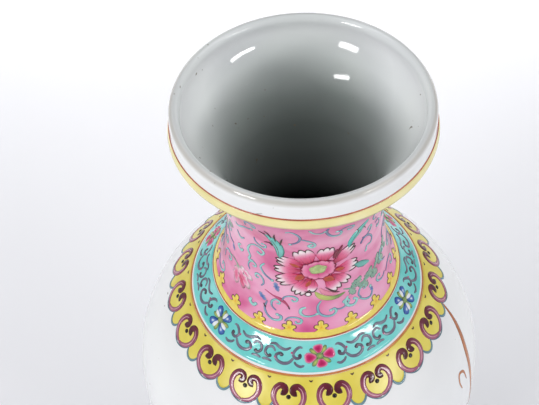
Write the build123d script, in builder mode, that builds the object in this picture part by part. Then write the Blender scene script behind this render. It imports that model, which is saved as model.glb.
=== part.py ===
"""Porcelain baluster vase, about 18 inches tall: luted sections, glaze coats and fired enamel bands.

Millimetres, +Z up, the origin on the standing surface under the middle of the foot.
Azimuth 0 faces -Y and grows towards +X.
"""

from build123d import *

import os

os.makedirs("parts", exist_ok=True)

# ---------------------------------------------------------------- thrown shape
overall_height = 460.0  # standing surface to the top of the lip
mouth_radius = 64.6  # outside of the lip
rim_depth = 15.0  # height of the upright face below the lip
rim_flare = 1.4  # how far the rim's lower edge stands outside the lip
waist_radius = 41.2
waist_depth = 74.0  # lip down to the narrowest part of the neck
neck_base_radius = 52.4
neck_base_depth = 129.6  # lip down to the foot of the neck
collar_radius = 67.2
collar_depth = 144.4  # lip down to the line between turquoise band and collar
collar_edge_radius = 81.4
collar_edge_depth = 160.0  # lip down to the points of the collar
belly_radius = 105.8
belly_depth = 223.0
ankle_radius = 67.6  # narrowest part, just above the foot
ankle_rise = 3.0  # straight foot, from the floor up to the ankle

lip_width = 4.2
mouth_wall = 4.6
throat_start = 0.085  # share of the body curve at which the cup of the mouth ends
body_wall = 6.5
floor_thickness = 8.0
foot_width = 7.0  # unglazed ring that the vase stands on
foot_recess = 9.0
foot_chamfer = 2.0

# ---------------------------------------------------------------- joints, glaze and enamel
seam = 0.8  # luting slip between two thrown sections
neck_seam_drop = 8.0  # below the line at the neck's base
belly_seam_drop = 31.6  # below the widest part of the belly
glaze = 0.4
glaze_start = 3.2  # the glaze is wiped off the foot below this
enamel = 0.3  # grounds and borders
overpaint = 0.25  # strokes laid over a fired ground

rim_yellow_height = 4.6
rim_yellow_turn = 1.2  # how far the yellow turns under the rim
line_height = 0.9  # iron red lines, measured upright
reserve_height = 0.6  # bare glaze above the collar's red line
border_height = 2.6  # plain yellow strip under the trefoils

trefoil_count = 18
trefoil_phase = 8.5
trefoil_height = 7.6
trefoil_lobe = 1.7
trefoil_spread = 2.1  # side lobes' distance from the trefoil's middle line

head_count = 19
head_phase = 10.5
head_width = 19.0  # one ruyi head across, volute to volute
head_offset = 5.6  # collar's red line out to the middle of a head's volutes, in plan
volute_rise = 3.6
head_stroke = 1.7
dot_offset = 2.6  # from the middle of the volutes towards the tip
dot_radius = 1.1
tab_offset = 0.7
tab_rise = 6.4
tab_width = 9.4
edging_width = 1.2
collar_drop = 4.0  # room below the collar's points when its enamel is cut out

foot_band_gap = 4.0  # ankle up to the painted foot band
foot_band_rise = 9.0

# ---------------------------------------------------------------- levels and pitches
lip_height = overall_height - glaze
lip_middle = mouth_radius - lip_width / 2
rim_bottom = lip_height - rim_depth
waist_height = lip_height - waist_depth
neck_base = lip_height - neck_base_depth
collar_line = lip_height - collar_depth
collar_edge = lip_height - collar_edge_depth
belly_height = lip_height - belly_depth
floor_height = foot_recess + floor_thickness
ankle_height = floor_height + ankle_rise
foot_inside = ankle_radius - foot_chamfer - foot_width
neck_seam = neck_base - neck_seam_drop
belly_seam = belly_height - belly_seam_drop
head_radius = collar_radius + head_offset
tab_radius = head_radius + tab_offset
trefoil_pitch = 360.0 / trefoil_count
head_pitch = 360.0 / head_count

# ---------------------------------------------------------------- cross-section of the wall
# Four smooth curves: rim and body outside, mouth and throat inside. Rim and mouth meet on the lip.
down = (0, -1)
unit = (1, 1)
under_rim = (mouth_radius - 2.5, rim_bottom - 3.4)
under_slope = (-0.62, -0.78)
with BuildLine():
    rim_curve = Spline(
        (lip_middle, lip_height),
        (mouth_radius - 0.35, lip_height - 1.7),
        (mouth_radius + 0.15, lip_height - 5.5),
        (mouth_radius + 0.8 * rim_flare, rim_bottom + 2.2),
        (mouth_radius + rim_flare, rim_bottom + 0.3),
        (mouth_radius + rim_flare - 0.7, rim_bottom - 1.1),
        under_rim,
        tangents=[(1, 0), under_slope],
        tangent_scalars=unit,
    )
    body_curve = Spline(
        under_rim,
        (waist_radius + 7.4, (rim_bottom + waist_height) / 2 + 6.0),
        (waist_radius, waist_height),
        (waist_radius + 3.4, waist_height - 32.0),
        (neck_base_radius - 1.9, neck_base + 3.7),
        (collar_radius, collar_line),
        (collar_edge_radius + 2.3, collar_edge - 2.2),
        (belly_radius - 7.0, belly_height + 36.0),
        (belly_radius, belly_height),
        (belly_radius - 7.2, belly_height - 65.0),
        (ankle_radius + 8.5, ankle_height + 47.0),
        (ankle_radius, ankle_height),
        tangents=[under_slope, down],
        tangent_scalars=unit,
    )


def points_beside(curve, near, far, start=0.0, stations=25):
    """Points beside a curve, near it at the start and far at the end, positive to its left."""
    points = []
    for index in range(stations):
        share = index / (stations - 1)
        along = start + (1.0 - start) * share
        away = near + (far - near) * share
        place = curve @ along
        heading = curve % along
        points.append((place.X - heading.Y * away, place.Y + heading.X * away))
    return points


throat_points = points_beside(body_curve, -mouth_wall, -body_wall, start=throat_start, stations=15)
throat_slope = body_curve % throat_start
mouth_inside = mouth_radius - lip_width
mouth_flare = mouth_radius - waist_radius
with BuildLine():
    mouth_curve = Spline(
        (lip_middle, lip_height),
        (mouth_inside + 0.3, lip_height - 1.3),
        (mouth_inside - 0.2, lip_height - 5.6),
        (mouth_inside - 1.6, lip_height - 11.0),
        (mouth_inside - 0.333 * mouth_flare, lip_height - 20.8),
        (mouth_inside - 0.6 * mouth_flare, lip_height - 30.2),
        throat_points[0],
        tangents=[(-1, 0), throat_slope],
        tangent_scalars=unit,
    )
    throat_curve = Spline(*throat_points, tangents=[throat_slope, down], tangent_scalars=unit)
throat_end = throat_points[-1][0]

with BuildSketch(Plane.XZ) as wall_section:
    with BuildLine():
        add([rim_curve, body_curve, mouth_curve, throat_curve])
        Polyline(
            throat_curve @ 1,
            (throat_end, floor_height),
            (0, floor_height),
            (0, foot_recess),
            (foot_inside, foot_recess),
            (foot_inside, 0),
            (ankle_radius - foot_chamfer, 0),
            (ankle_radius, foot_chamfer),
            body_curve @ 1,
        )
    make_face()


def level_with(curve, distance):
    """The curve at a distance to the left of another, or that curve itself at no distance."""
    if distance == 0:
        return curve
    ends = [curve % 0, curve % 1]
    points = points_beside(curve, distance, distance)
    return Spline(*points, tangents=ends, tangent_scalars=unit, mode=Mode.PRIVATE)


def outside_coat(below, above):
    """The turned layer between two distances out from the porcelain, from the lip to the ankle."""
    with BuildPart() as coat:
        with BuildSketch(Plane.XZ):
            with BuildLine():
                for distance in (below, above):
                    add([level_with(rim_curve, distance), level_with(body_curve, distance)])
                Line((lip_middle, lip_height + below), (lip_middle, lip_height + above))
                Line((ankle_radius + below, ankle_height), (ankle_radius + above, ankle_height))
            make_face()
        revolve(axis=Axis.Z)
    return coat.part


def finish_piece(piece, label):
    """Name a finished piece and write its STEP file."""
    piece.label = label
    export_step(piece, f"parts/{label}.step")


# ---------------------------------------------------------------- thrown sections and their seams
with BuildPart() as thrown_wall:
    add(wall_section.sketch)
    revolve(axis=Axis.Z)


def slab(source, low, high):
    """The part of a turned solid between two heights."""
    with BuildPart() as piece:
        add(source)
        with BuildSketch(Plane.XY.offset(low)):
            Circle(2 * belly_radius)
        extrude(amount=high - low, mode=Mode.INTERSECT)
    return piece.part


half_seam = seam / 2
sections = {
    "neck_section": (neck_seam + half_seam, overall_height),
    "neck_seam_slip": (neck_seam - half_seam, neck_seam + half_seam),
    "shoulder_section": (belly_seam + half_seam, neck_seam - half_seam),
    "belly_seam_slip": (belly_seam - half_seam, belly_seam + half_seam),
    "foot_section": (0.0, belly_seam - half_seam),
}
for label, (low, high) in sections.items():
    finish_piece(slab(thrown_wall.part, low, high), label)

# ---------------------------------------------------------------- glaze
with BuildPart() as outside_glaze:
    add(outside_coat(0, glaze))
    with BuildSketch(Plane.XY.offset(glaze_start)):
        Circle(ankle_radius + glaze)
        Circle(ankle_radius, mode=Mode.SUBTRACT)
    extrude(amount=ankle_height - glaze_start)
finish_piece(outside_glaze.part, "outside_glaze")

with BuildPart() as inside_glaze:
    with BuildSketch(Plane.XZ):
        with BuildLine():
            add([mouth_curve, throat_curve])
            add([level_with(mouth_curve, -glaze), level_with(throat_curve, -glaze)])
            Line((lip_middle, lip_height), (lip_middle, lip_height + glaze))
            Polyline(
                throat_curve @ 1,
                (throat_end, floor_height),
                (0, floor_height),
                (0, floor_height + glaze),
                (throat_end - glaze, floor_height + glaze),
                (throat_end - glaze, ankle_height),
            )
        make_face()
    revolve(axis=Axis.Z)
finish_piece(inside_glaze.part, "inside_glaze")

with BuildPart() as base_glaze:
    with BuildSketch(Plane.XY.offset(glaze_start)):
        Circle(foot_inside)
    extrude(amount=foot_recess - glaze_start)
    with BuildSketch(Plane.XY.offset(glaze_start)):
        Circle(foot_inside - glaze)
    extrude(amount=foot_recess - glaze - glaze_start, mode=Mode.SUBTRACT)
finish_piece(base_glaze.part, "base_glaze")

enamel_skin = outside_coat(glaze, glaze + enamel)
overpaint_skin = outside_coat(glaze + enamel, glaze + enamel + overpaint)

# ---------------------------------------------------------------- plain painted bands
rim_line_bottom = rim_bottom + rim_yellow_height
pink_top = rim_bottom - rim_yellow_turn
half_line = line_height / 2
border_top = neck_base + half_line + border_height
turquoise_bottom = collar_line + half_line + reserve_height
foot_band_bottom = ankle_height + foot_band_gap
foot_band_top = foot_band_bottom + foot_band_rise
bands = {
    "rim_red_line": (rim_line_bottom, rim_line_bottom + line_height),
    "rim_yellow_band": (pink_top, rim_line_bottom),
    "neck_base_line": (neck_base - half_line, neck_base + half_line),
    "turquoise_band": (turquoise_bottom, neck_base - half_line),
    "collar_red_line": (collar_line - half_line, collar_line + half_line),
    "foot_yellow_band": (foot_band_bottom, foot_band_top),
    "foot_red_line": (foot_band_top, foot_band_top + line_height),
}
for label, (low, high) in bands.items():
    finish_piece(slab(enamel_skin, low, high), label)

# ---------------------------------------------------------------- trefoil border and pink ground
lobe_height = border_top + 2 * trefoil_lobe
with BuildPart() as trefoil_stamps:
    for index in range(trefoil_count):
        facing = Plane.XZ.rotated((0, 0, trefoil_phase + index * trefoil_pitch))
        with BuildSketch(facing.offset(neck_base_radius / 2)):
            with Locations((0, border_top + trefoil_height - trefoil_lobe)):
                Circle(trefoil_lobe)
            with Locations((-trefoil_spread, lobe_height), (trefoil_spread, lobe_height)):
                Circle(trefoil_lobe)
            with Locations((0, border_top - 1.0)):
                Rectangle(1.6 * trefoil_lobe, trefoil_height, align=(Align.CENTER, Align.MIN))
        extrude(amount=neck_base_radius)

neck_skin = slab(enamel_skin, border_top, pink_top)
with BuildPart() as trefoil_border:
    add(neck_skin)
    add(trefoil_stamps.part, mode=Mode.INTERSECT)
    add(slab(enamel_skin, neck_base + half_line, border_top))
finish_piece(trefoil_border.part, "trefoil_border")

with BuildPart() as neck_pink_ground:
    add(neck_skin)
    add(trefoil_stamps.part, mode=Mode.SUBTRACT)
finish_piece(neck_pink_ground.part, "neck_pink_ground")

# ---------------------------------------------------------------- ruyi collar
# Drawn in plan: on each head x points out from the axis and y goes round the vase.
tip = collar_edge_radius - head_radius
side = head_width / 2
with BuildSketch() as head_plan:
    with BuildLine():
        for turn in (1, -1):
            ThreePointArc((0, turn * side), (0.6 * tip, turn * 0.68 * side), (tip, 0))
        Line((0, side), (0, -side))
    make_face()
    with Locations((0, side / 2), (0, -side / 2)):
        Ellipse(volute_rise, side / 2)

inset = head_stroke / 2
with BuildSketch() as scroll_plan:
    for turn in (1, -1):
        with BuildLine():
            Spline(
                (0.6, turn * 0.3 * side),
                (-0.45 * volute_rise, turn * 0.24 * side),
                (inset - volute_rise, turn * side / 2),
                (-0.1 * volute_rise, turn * (side - inset)),
                (0.38 * tip, turn * (0.84 * side - inset)),
                (0.72 * tip, turn * (0.5 * side - 0.6 * inset)),
                (tip - 1.3 * inset, 0),
            )
        trace(line_width=head_stroke)
    add(head_plan.sketch, mode=Mode.INTERSECT)

heads = PolarLocations(head_radius, head_count, head_phase - 90.0)
gaps = PolarLocations(tab_radius, head_count, head_phase + head_pitch / 2 - 90.0)
with BuildSketch() as collar_plan:
    Circle(head_radius + 0.2 * tip)
    with heads:
        add(head_plan.sketch)
with BuildSketch() as tab_plan:
    with gaps:
        Ellipse(tab_rise, tab_width / 2)
with BuildSketch() as edging_plan:
    with gaps:
        Ellipse(tab_rise + edging_width, tab_width / 2 + edging_width)
    add(tab_plan.sketch, mode=Mode.SUBTRACT)
    add(collar_plan.sketch, mode=Mode.SUBTRACT)


def laid_on(skin, plan):
    """The part of a skin under a plan, from the collar's red line down."""
    low = collar_edge - collar_drop
    with BuildPart() as piece:
        add(slab(skin, low, collar_line - half_line))
        with BuildPart(mode=Mode.PRIVATE) as column:
            add(plan)
            extrude(amount=neck_base)
        add(column.part, mode=Mode.INTERSECT)
    return piece.part


with BuildSketch() as ground_plan:
    add(collar_plan.sketch)
    add(tab_plan.sketch)
with BuildSketch() as scrolls_plan:
    with heads:
        add(scroll_plan.sketch)
with BuildSketch() as dots_plan:
    with PolarLocations(head_radius + dot_offset, head_count, head_phase - 90.0):
        Circle(dot_radius)

finish_piece(laid_on(enamel_skin, ground_plan.sketch), "collar_yellow_ground")
finish_piece(laid_on(enamel_skin, edging_plan.sketch), "collar_blue_edging")
finish_piece(laid_on(overpaint_skin, scrolls_plan.sketch), "ruyi_scrolls")
finish_piece(laid_on(overpaint_skin, dots_plan.sketch), "ruyi_dots")
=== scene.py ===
# A tall porcelain vase with a rose-enamelled neck, a turquoise band and a yellow
# collar of ruyi heads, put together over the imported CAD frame.
import math

import bmesh
import bpy
import numpy as np
from mathutils import Matrix, Vector


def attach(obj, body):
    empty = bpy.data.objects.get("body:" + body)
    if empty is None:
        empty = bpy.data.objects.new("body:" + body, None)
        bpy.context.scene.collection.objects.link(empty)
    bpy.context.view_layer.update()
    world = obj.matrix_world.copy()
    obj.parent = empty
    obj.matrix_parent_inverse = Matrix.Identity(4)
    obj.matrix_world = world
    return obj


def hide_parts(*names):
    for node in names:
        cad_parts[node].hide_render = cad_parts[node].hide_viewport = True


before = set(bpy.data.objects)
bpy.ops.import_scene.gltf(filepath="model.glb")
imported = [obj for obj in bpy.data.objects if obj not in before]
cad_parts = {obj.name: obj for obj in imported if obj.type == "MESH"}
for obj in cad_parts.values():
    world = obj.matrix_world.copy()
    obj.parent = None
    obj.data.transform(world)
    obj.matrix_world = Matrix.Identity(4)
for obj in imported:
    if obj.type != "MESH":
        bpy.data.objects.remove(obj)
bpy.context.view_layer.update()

# The table and the light. A wide sheet of pale card lies under the vase. Two soft
# windows stand in front of it, and white cloths hang over, beside and behind it.
card_half_width = 4.0
card_squares = 8
room_middle = 0.13
room_sides = 0.66
window_distance = 1.6
cloth_distance = 2.2


def pigment(code):
    """A colour written the way a colour chart writes it, as a linear colour."""
    parts = [int(code[i : i + 2], 16) / 255 for i in (1, 3, 5)]
    light = [p / 12.92 if p <= 0.04045 else ((p + 0.055) / 1.055) ** 2.4 for p in parts]
    return (*light, 1.0)


def add_node(owner, kind):
    """A new node in a finish or in the room's light."""
    return owner.node_tree.nodes.new(kind)


def join(owner, source, target):
    """One node's output wired to another's input."""
    owner.node_tree.links.new(source, target)


def new_finish(name, roughness):
    """A fresh material with its shader and its coordinates to hand."""
    finish = bpy.data.materials.new(name)
    finish.use_nodes = True
    nodes = finish.node_tree.nodes
    shader = nodes["Principled BSDF"]
    shader.inputs["Roughness"].default_value = roughness
    place = nodes.new("ShaderNodeTexCoord").outputs["Object"]
    return finish, shader, place


def noise(finish, place, scale, detail=2.0, roughness=0.5, distortion=0.0):
    """Cloudy variation over the surface, as many cells to the metre as scale."""
    node = add_node(finish, "ShaderNodeTexNoise")
    settings = {"Scale": scale, "Detail": detail, "Roughness": roughness, "Distortion": distortion}
    for socket, value in settings.items():
        node.inputs[socket].default_value = value
    join(finish, place, node.inputs["Vector"])
    return node.outputs["Fac"]


def ramp(finish, factor, stops):
    """Colours laid along a factor, as (place, colour code)."""
    node = add_node(finish, "ShaderNodeValToRGB")
    steps = node.color_ramp.elements
    while len(steps) < len(stops):
        steps.new(0.5)
    for step, (where, code) in zip(steps, stops):
        step.position = where
        step.color = pigment(code)
    join(finish, factor, node.inputs["Fac"])
    return node.outputs["Color"]


def blend_colours(finish, amount, under, over, how="MIX"):
    """One colour laid over another by an amount from 0 to 1."""
    node = add_node(finish, "ShaderNodeMix")
    node.data_type = "RGBA"
    node.blend_type = how
    for socket, value in zip(("Factor", "A", "B"), (amount, under, over)):
        named = [s for s in node.inputs if s.name == socket]
        target = [s for s in named if socket == "Factor" or s.type == "RGBA"][0]
        if isinstance(value, (float, tuple)):
            target.default_value = value
        else:
            join(finish, value, target)
    return [s for s in node.outputs if s.type == "RGBA"][0]


def roughen(finish, shader, height, depth, strength=1.0):
    """Relief from a height, as deep as depth in metres."""
    bump = add_node(finish, "ShaderNodeBump")
    bump.inputs["Strength"].default_value = strength
    bump.inputs["Distance"].default_value = depth
    join(finish, height, bump.inputs["Height"])
    join(finish, bump.outputs["Normal"], shader.inputs["Normal"])


card_finish, card_shader, card_place = new_finish("pale_card", 0.75)
card_tone = noise(card_finish, card_place, 1.2)
card_colour = ramp(card_finish, card_tone, [(0.3, "#ECECF0"), (0.7, "#EFEFF3")])
join(card_finish, card_colour, card_shader.inputs["Base Color"])
bpy.ops.mesh.primitive_grid_add(x_subdivisions=card_squares, y_subdivisions=card_squares,
    size=2 * card_half_width)
card = bpy.context.object
card.name = "pale_card"
card.data.materials.append(card_finish)

world = bpy.data.worlds.new("soft_room")
bpy.context.scene.world = world
world.use_nodes = True
room = world.node_tree.nodes["Background"]
room.inputs["Color"].default_value = (0.96, 0.98, 1.0, 1.0)
look_way = add_node(world, "ShaderNodeTexCoord")
across_room = add_node(world, "ShaderNodeSeparateXYZ")
wall_light = add_node(world, "ShaderNodeMapRange")
wall_light.inputs["From Min"].default_value = 0.0
wall_light.inputs["To Min"].default_value = room_middle
wall_light.inputs["To Max"].default_value = room_sides
side_of = add_node(world, "ShaderNodeMath")
side_of.operation = "ABSOLUTE"
join(world, look_way.outputs["Generated"], across_room.inputs["Vector"])
join(world, across_room.outputs["X"], side_of.inputs[0])
join(world, side_of.outputs[0], wall_light.inputs["Value"])
join(world, wall_light.outputs["Result"], room.inputs["Strength"])


def window(name, turn, rise, width, height, power, distance, aim=(0, 0, 0.34)):
    """A soft rectangular light that faces the vase's shoulder, or an aim."""
    lamp = bpy.data.lights.new(name, "AREA")
    lamp.shape = "RECTANGLE"
    lamp.size = width
    lamp.size_y = height
    lamp.energy = power
    holder = bpy.data.objects.new(name, lamp)
    bpy.context.collection.objects.link(holder)
    a, e = math.radians(turn), math.radians(rise)
    way = Vector((math.sin(a) * math.cos(e), -math.cos(a) * math.cos(e), math.sin(e)))
    holder.location = Vector(aim) + way * distance
    holder.visible_camera = False
    holder.rotation_euler = way.to_track_quat("Z", "Y").to_euler()


window("left_window", -43, 18, 0.44, 0.26, 8.6, window_distance)
window("right_window", 54, 16, 0.66, 0.13, 6.6, window_distance)
window("ceiling_cloth", -20, 82, 1.6, 1.6, 4.2, cloth_distance)
window("left_cloth", -72, 54, 1.3, 1.3, 9.5, cloth_distance)
window("right_cloth", 88, 50, 1.3, 1.3, 7.5, cloth_distance)
window("back_cloth", 180, 47, 1.8, 0.4, 6.2, 0.55, (0, 0.64, 0))

eye_place = (0.0, -0.3562, 0.8183)
eye = bpy.data.cameras.new("eye")
eye.sensor_width = 36
eye.lens = 70
eye.clip_start = 0.01
viewer = bpy.data.objects.new("eye", eye)
bpy.context.collection.objects.link(viewer)
right = Vector((0.9992, 0.0039, -0.0402)).normalized()
ahead = Vector((-0.0336, 0.6325, -0.7738)).normalized()
above = right.cross(ahead).normalized()
right = ahead.cross(above).normalized()
viewer.matrix_world = Matrix.Translation(eye_place) @ Matrix(
    [[right[i], above[i], -ahead[i]] for i in range(3)]
).to_4x4()
bpy.context.scene.camera = viewer
bpy.context.scene.view_settings.view_transform = "Standard"

# The thrown body. Three porcelain sections are luted one on another with slip,
# fired, and dipped: a clear glaze runs over the lip, down both sides of the
# wall and across the inside floor. Only the foot ring stays bare.
glaze_depth = 0.30
lip_level = 459  # mm, the top of the lip lies above this
floor_level = 30  # mm, the inside floor lies below this
mouth_level = 440  # mm, the mouth's tighter curves lie above this


def coat_points(node, visible, gaps):
    """(radius, height) in mm down one face of a coat, thinned out."""
    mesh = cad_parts[node].data
    place = np.array([v.co[:] for v in mesh.vertices]) * 1000
    facing = np.array([v.normal[:] for v in mesh.vertices])
    radius = np.hypot(place[:, 0], place[:, 1])
    outward = (place[:, :2] * facing[:, :2]).sum(1) / np.maximum(radius, 1e-6)
    keep = visible(outward, facing[:, 2], place[:, 2])
    found = np.stack([radius, place[:, 2]], 1)[keep]
    found = found[np.lexsort((-found[:, 0], -found[:, 1]))]
    kept = [found[0]]
    for point in found[1:]:
        if np.hypot(*(point - kept[-1])) >= gaps(point[1]):
            kept.append(point)
    return np.array(kept)


def eased(points, step):
    """A smooth curve through the points, with a point every step mm."""
    points = np.asarray(points, float)
    t = np.concatenate([[0], np.cumsum(np.hypot(*np.diff(points, axis=0).T))])
    h = np.diff(t)
    n = len(t)
    system = np.eye(n)
    right_side = np.zeros((n, 2))
    for i in range(1, n - 1):
        system[i, i - 1 : i + 2] = h[i - 1], 2 * (h[i - 1] + h[i]), h[i]
        right_side[i] = 6 * ((points[i + 1] - points[i]) / h[i] - (points[i] - points[i - 1]) / h[i - 1])
    bend = np.linalg.solve(system, right_side)
    where = np.linspace(0, t[-1], int(t[-1] / step) + 2)
    k = np.clip(np.searchsorted(t, where) - 1, 0, n - 2)
    a = ((t[k + 1] - where) / h[k])[:, None]
    b = 1 - a
    hh = (h[k] ** 2)[:, None] / 6
    return a * points[k] + b * points[k + 1] + ((a**3 - a) * bend[k] + (b**3 - b) * bend[k + 1]) * hh


def outside_faces(outward, up, height):
    return (outward > 0.3) | ((up > 0.5) & (height > lip_level))


def inside_faces(outward, up, height):
    return (outward < -0.3) | ((up > 0.5) & ((height > lip_level) | (height < floor_level)))


def outside_gap(height):
    return 0.9 if height > mouth_level else 3.0


def inside_gap(height):
    return 1.2 if height > mouth_level else 4.0


outside = eased(coat_points("outside_glaze", outside_faces, outside_gap), 0.25)
inside = eased(coat_points("inside_glaze", inside_faces, inside_gap), 0.25)
run = np.concatenate([[0], np.cumsum(np.hypot(*np.diff(outside, axis=0).T))])
slope = np.gradient(outside, run, axis=0)
lean_out = -slope[:, 1]
lean_up = slope[:, 0]


def down_to(height):
    """How far down the wall from the lip a height in mm lies."""
    return float(np.interp(-height, -outside[:, 1], run))


def width_at(down):
    """The vase's radius in mm, so far down the wall."""
    return np.interp(down, run, outside[:, 0])


def on_wall(turn, down, lift):
    """Points in metres on the wall: degrees round, mm down and mm proud."""
    radius = width_at(down) + lift * np.interp(down, run, lean_out)
    height = np.interp(down, run, outside[:, 1]) + lift * np.interp(down, run, lean_up)
    angle = np.radians(turn)
    return np.stack([radius * np.sin(angle), -radius * np.cos(angle), height], -1) / 1000


def make_piece(name, points, faces, finish, nodes, tone=None):
    """One mesh that rides on the vase and stands for the CAD nodes named."""
    mesh = bpy.data.meshes.new(name)
    mesh.from_pydata([tuple(p) for p in points], [], faces)
    mesh.polygons.foreach_set("use_smooth", [True] * len(mesh.polygons))
    if tone is not None:
        mesh.attributes.new("tone", "FLOAT", "POINT").data.foreach_set("value",
            np.asarray(tone, np.float32))
    mesh.update()
    shape = bmesh.new()
    shape.from_mesh(mesh)
    bmesh.ops.recalc_face_normals(shape, faces=shape.faces)
    shape.to_mesh(mesh)
    shape.free()
    piece = bpy.data.objects.new(name, mesh)
    bpy.context.collection.objects.link(piece)
    mesh.materials.append(finish)
    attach(piece, "root")
    if nodes:
        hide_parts(*nodes)


def thrown_faces(rings, around, closed):
    """Faces between rings of points, all round, and back to the first ring."""
    faces = []
    for i in range(rings if closed else rings - 1):
        a, b = i * around, (i + 1) % rings * around
        for j in range(around):
            k = (j + 1) % around
            faces.append((a + j, a + k, b + k, b + j))
    return faces


coat_around = 224
lip_tone = 0.2  # the tone at the lip; it grows inwards
tone_run = 250  # mm down the wall for a whole step of tone
lip_join = inside[0] * 0.5 + outside[0] * 0.5
skin = np.vstack([outside[::-1][:-1], [lip_join], inside[1:]])
keep_every = [0]
for i in range(1, len(skin)):
    apart = 0.4 if skin[i][1] > 455 else 0.9 if skin[i][1] > mouth_level else 2.8
    if np.hypot(*(skin[i] - skin[keep_every[-1]])) > apart:
        keep_every.append(i)
skin = skin[keep_every]
way = np.gradient(skin, axis=0)
way /= np.hypot(way[:, 0], way[:, 1])[:, None]
under = skin + np.stack([-way[:, 1], way[:, 0]], 1) * glaze_depth
skin[-1, 0] = 0.6
under[-1, 0] = 0.6
section = np.vstack([skin, under[::-1]])
angles = np.radians(np.arange(coat_around) * 360 / coat_around)
lip_index = int(np.argmax(skin[:, 1]))
from_lip = np.concatenate([[0], np.cumsum(np.hypot(*np.diff(skin, axis=0).T))])
from_lip -= from_lip[lip_index]
coat_tone = np.clip(lip_tone + from_lip / tone_run, 0, 1)
coat_tone = np.repeat(np.concatenate([coat_tone, coat_tone[::-1]]), coat_around)
coat_mesh_points = np.stack(
    [
        np.outer(section[:, 0], np.sin(angles)),
        -np.outer(section[:, 0], np.cos(angles)),
        np.outer(section[:, 1], np.ones(coat_around)),
    ],
    -1,
).reshape(-1, 3) / 1000

glaze_finish, glaze_shader, glaze_place = new_finish("clear_glaze_on_porcelain", 0.07)
glaze_shader.inputs["IOR"].default_value = 1.5
cloud = noise(glaze_finish, glaze_place, 14, 3.0)
glaze_colour_and_shade = ramp(glaze_finish, cloud, [(0.35, "#E9EAEC"), (0.65, "#EEEFEF")])
# The tone grows from the lip inwards. Just outside the top of the lip, a brown-grey line shows where the
# glaze runs thin over the body. From the lip inwards the ramp is painted light and shade: near white under
# the lip, then greyer and darker down the throat, where less light reaches.
depth = add_node(glaze_finish, "ShaderNodeAttribute")
depth.attribute_name = "tone"
lip_line_and_throat_shade = ramp(
    glaze_finish,
    depth.outputs["Fac"],
    [(0.184, "#FFFFFF"), (0.190, "#DCD8D2"), (0.194, "#C9C4BC"), (0.198, "#E9E9E8"), (0.203, "#EEF0EF"),
     (0.209, "#F4F6F5"), (0.23, "#FFFFFF"), (0.29, "#FBFDFB"), (0.38, "#CED3D0"), (0.45, "#AAAFAC"),
     (0.86, "#8E9390")],
)
glaze_colour_and_shade = blend_colours(glaze_finish, 1.0, glaze_colour_and_shade, lip_line_and_throat_shade, "MULTIPLY")
# Painted shade: a soft darker patch on the far inside wall of the mouth. It is darkest at its middle and
# fades out over 55 mm.
shade_middle = (-0.002, 0.041, 0.421)
shade_radius = 0.055
shade_reach = add_node(glaze_finish, "ShaderNodeVectorMath")
shade_reach.operation = "DISTANCE"
shade_reach.inputs[1].default_value = shade_middle
join(glaze_finish, glaze_place, shade_reach.inputs[0])
shade_spread = add_node(glaze_finish, "ShaderNodeMapRange")
shade_spread.inputs["From Max"].default_value = shade_radius
join(glaze_finish, shade_reach.outputs["Value"], shade_spread.inputs["Value"])
shade = ramp(glaze_finish, shade_spread.outputs["Result"],
             [(0.2, "#C4C7C6"), (0.45, "#D3D6D5"), (0.62, "#E2E4E3"), (0.78, "#EBECEC"), (1, "#FFFFFF")])
glaze_colour_and_shade = blend_colours(glaze_finish, 1.0, glaze_colour_and_shade, shade, "MULTIPLY")
speck_field = noise(glaze_finish, glaze_place, 330, 0.0)
speck_mask = ramp(glaze_finish, speck_field, [(0.82, "#000000"), (0.88, "#FFFFFF")])
speck_colour = blend_colours(glaze_finish, speck_mask, glaze_colour_and_shade, pigment("#8C8478"))
join(glaze_finish, speck_colour, glaze_shader.inputs["Base Color"])
roughen(glaze_finish, glaze_shader, noise(glaze_finish, glaze_place, 55, 2.0), 0.00035, 0.35)
make_piece(
    "glaze_coat",
    coat_mesh_points,
    thrown_faces(len(section), coat_around, True),
    glaze_finish,
    ["outside_glaze", "inside_glaze"],
    coat_tone,
)

bare_finish, bare_shader, bare_place = new_finish("bare_porcelain", 0.62)
bare_tone = noise(bare_finish, bare_place, 60, 4.0)
bare_colour = ramp(bare_finish, bare_tone, [(0.35, "#D9D2C4"), (0.65, "#E8E4DB")])
join(bare_finish, bare_colour, bare_shader.inputs["Base Color"])
roughen(bare_finish, bare_shader, noise(bare_finish, bare_place, 900, 3.0), 0.0002, 0.6)
for name in ("neck_section", "shoulder_section", "foot_section", "neck_seam_slip", "belly_seam_slip"):
    for place_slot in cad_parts[name].material_slots:
        place_slot.material = bare_finish
for place_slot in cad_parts["base_glaze"].material_slots:
    place_slot.material = glaze_finish

# The rim. A soft yellow enamel band is brushed round the lower half of the
# upright rim on a turning wheel, and a fine iron-red line closes its top edge.
rim_line_top = 450.1
rim_line_foot = 449.2
rim_yellow_foot = 443.4
band_around = 288


def enamel(name, stops, scale, roughness=0.14, relief=0.00012, detail=2.0, by_tone=False, mottle=0.25):
    """A fired enamel: a mottled colour under a glassy, slightly wavy face."""
    finish, shader, place = new_finish(name, roughness)
    cloudy = noise(finish, place, scale, detail)
    if by_tone:
        source = add_node(finish, "ShaderNodeAttribute")
        source.attribute_name = "tone"
        colour = ramp(finish, source.outputs["Fac"], stops)
        shade = ramp(finish, cloudy, [(0.3, "#B8B8B8"), (0.7, "#FFFFFF")])
        colour = blend_colours(finish, mottle, colour, shade, "MULTIPLY")
    else:
        colour = ramp(finish, cloudy, stops)
    join(finish, colour, shader.inputs["Base Color"])
    shader.inputs["IOR"].default_value = 1.5
    roughen(finish, shader, noise(finish, place, 240, 2.0), relief, 0.6)
    return finish


def tinted(name, stops, scale=300, mottle=0.25):
    """A fired enamel whose colour follows the tone that each stroke carries."""
    return enamel(name, stops, scale, by_tone=True, mottle=mottle)


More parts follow.
